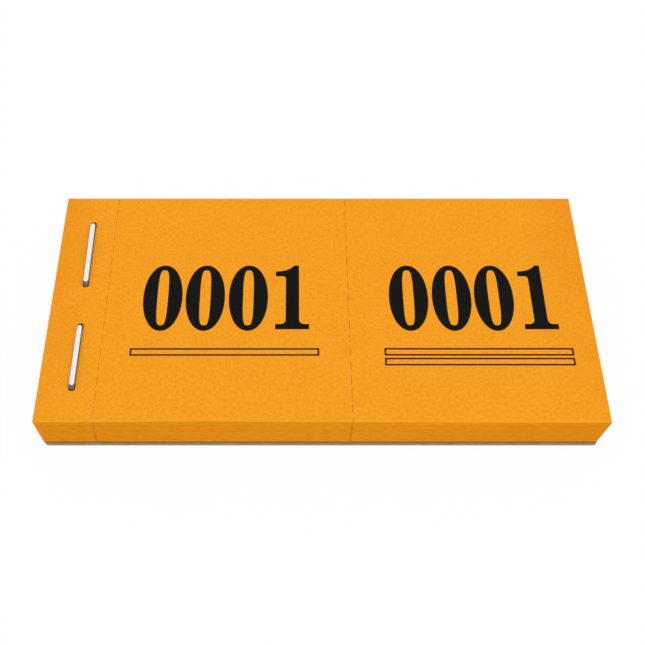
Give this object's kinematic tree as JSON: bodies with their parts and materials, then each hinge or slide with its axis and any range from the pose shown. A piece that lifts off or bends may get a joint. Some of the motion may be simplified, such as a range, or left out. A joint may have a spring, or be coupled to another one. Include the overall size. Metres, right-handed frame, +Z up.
{
  "type": "numbered ticket book",
  "caption": "Stapled book of orange perforated paper leaves with numbered tear-off tickets, bound at the stub over a grey backing board.",
  "frame": {"origin": "middle of the book's underside, on the surface that it lies on", "axes": "+X from the stapled stub to the free end, +Y from front to back, +Z up through the leaves"},
  "size_m": [0.105, 0.051, 0.0118],
  "materials": {
    "paper": "uncoated orange paper, matt",
    "board": "grey-brown chipboard, matt",
    "wire": "bright galvanised wire"
  },
  "bodies": {
    "bound_stub": {"backing_board": "board", "front_staple": "wire", "rear_staple": "wire", "stubs_pack_01": "paper", "stubs_pack_02": "paper", "stubs_pack_03": "paper", "stubs_pack_04": "paper", "stubs_pack_05": "paper", "stubs_pack_06": "paper", "stubs_pack_07": "paper", "stubs_pack_08": "paper", "stubs_pack_09": "paper", "stubs_pack_10": "paper"},
    "pack_01": {"inner_tickets_pack_01": "paper", "outer_tickets_pack_01": "paper"},
    "pack_02": {"inner_tickets_pack_02": "paper", "outer_tickets_pack_02": "paper"},
    "pack_03": {"inner_tickets_pack_03": "paper", "outer_tickets_pack_03": "paper"},
    "pack_04": {"inner_tickets_pack_04": "paper", "outer_tickets_pack_04": "paper"},
    "pack_05": {"inner_tickets_pack_05": "paper", "outer_tickets_pack_05": "paper"},
    "pack_06": {"inner_tickets_pack_06": "paper", "outer_tickets_pack_06": "paper"},
    "pack_07": {"inner_tickets_pack_07": "paper", "outer_tickets_pack_07": "paper"},
    "pack_08": {"inner_tickets_pack_08": "paper", "outer_tickets_pack_08": "paper"},
    "pack_09": {"inner_tickets_pack_09": "paper", "outer_tickets_pack_09": "paper"},
    "pack_10": {"inner_tickets_pack_10": "paper", "outer_tickets_pack_10": "paper"},
    "leaf_3": {"inner_ticket_3": "paper", "outer_ticket_3": "paper"},
    "leaf_2": {"inner_ticket_2": "paper"},
    "ticket_2": {"outer_ticket_2": "paper"},
    "leaf_1": {"inner_ticket_1": "paper"},
    "ticket_1": {"outer_ticket_1": "paper"}
  },
  "joints": [
    {"name": "pack_01_lift", "type": "hinge", "parent": "bound_stub", "child": "pack_01", "pos_m": [-0.0418, 0, 0.01099], "axis": [0, 1, 0], "range_deg": [-25, 0]},
    {"name": "pack_02_lift", "type": "hinge", "parent": "bound_stub", "child": "pack_02", "pos_m": [-0.0418, 0, 0.01099], "axis": [0, 1, 0], "range_deg": [-22.5, 0]},
    {"name": "pack_03_lift", "type": "hinge", "parent": "bound_stub", "child": "pack_03", "pos_m": [-0.0418, 0, 0.01099], "axis": [0, 1, 0], "range_deg": [-20, 0]},
    {"name": "pack_04_lift", "type": "hinge", "parent": "bound_stub", "child": "pack_04", "pos_m": [-0.0418, 0, 0.01099], "axis": [0, 1, 0], "range_deg": [-17.5, 0]},
    {"name": "pack_05_lift", "type": "hinge", "parent": "bound_stub", "child": "pack_05", "pos_m": [-0.0418, 0, 0.01099], "axis": [0, 1, 0], "range_deg": [-15, 0]},
    {"name": "pack_06_lift", "type": "hinge", "parent": "bound_stub", "child": "pack_06", "pos_m": [-0.0418, 0, 0.01099], "axis": [0, 1, 0], "range_deg": [-12.5, 0]},
    {"name": "pack_07_lift", "type": "hinge", "parent": "bound_stub", "child": "pack_07", "pos_m": [-0.0418, 0, 0.01099], "axis": [0, 1, 0], "range_deg": [-10, 0]},
    {"name": "pack_08_lift", "type": "hinge", "parent": "bound_stub", "child": "pack_08", "pos_m": [-0.0418, 0, 0.01099], "axis": [0, 1, 0], "range_deg": [-7.5, 0]},
    {"name": "pack_09_lift", "type": "hinge", "parent": "bound_stub", "child": "pack_09", "pos_m": [-0.0418, 0, 0.01099], "axis": [0, 1, 0], "range_deg": [-5, 0]},
    {"name": "pack_10_lift", "type": "hinge", "parent": "bound_stub", "child": "pack_10", "pos_m": [-0.0418, 0, 0.01099], "axis": [0, 1, 0], "range_deg": [-2.5, 0]},
    {"name": "leaf_3_tear", "type": "slide", "parent": "pack_01", "child": "leaf_3", "axis": [1, 0, 0], "range_m": [0, 0.1]},
    {"name": "leaf_2_turn", "type": "hinge", "parent": "pack_01", "child": "leaf_2", "pos_m": [-0.0418, 0, 0.01099], "axis": [0, 1, 0], "range_deg": [-105, 0]},
    {"name": "ticket_2_tear", "type": "slide", "parent": "leaf_2", "child": "ticket_2", "axis": [1, 0, 0], "range_m": [0, 0.05]},
    {"name": "leaf_1_turn", "type": "hinge", "parent": "leaf_2", "child": "leaf_1", "pos_m": [-0.0418, 0, 0.01099], "axis": [0, -1, 0], "range_deg": [0, 165]},
    {"name": "ticket_1_fold", "type": "hinge", "parent": "leaf_1", "child": "ticket_1", "pos_m": [0.00535, 0, 0.01099], "axis": [0, 1, 0], "range_deg": [-160, 0]}
  ],
  "couplings": [
    {"joint": "pack_02_lift", "follows": "pack_01_lift", "ratio": 0.9},
    {"joint": "pack_03_lift", "follows": "pack_01_lift", "ratio": 0.8},
    {"joint": "pack_04_lift", "follows": "pack_01_lift", "ratio": 0.7},
    {"joint": "pack_05_lift", "follows": "pack_01_lift", "ratio": 0.6},
    {"joint": "pack_06_lift", "follows": "pack_01_lift", "ratio": 0.5},
    {"joint": "pack_07_lift", "follows": "pack_01_lift", "ratio": 0.4},
    {"joint": "pack_08_lift", "follows": "pack_01_lift", "ratio": 0.3},
    {"joint": "pack_09_lift", "follows": "pack_01_lift", "ratio": 0.2},
    {"joint": "pack_10_lift", "follows": "pack_01_lift", "ratio": 0.1}
  ]
}
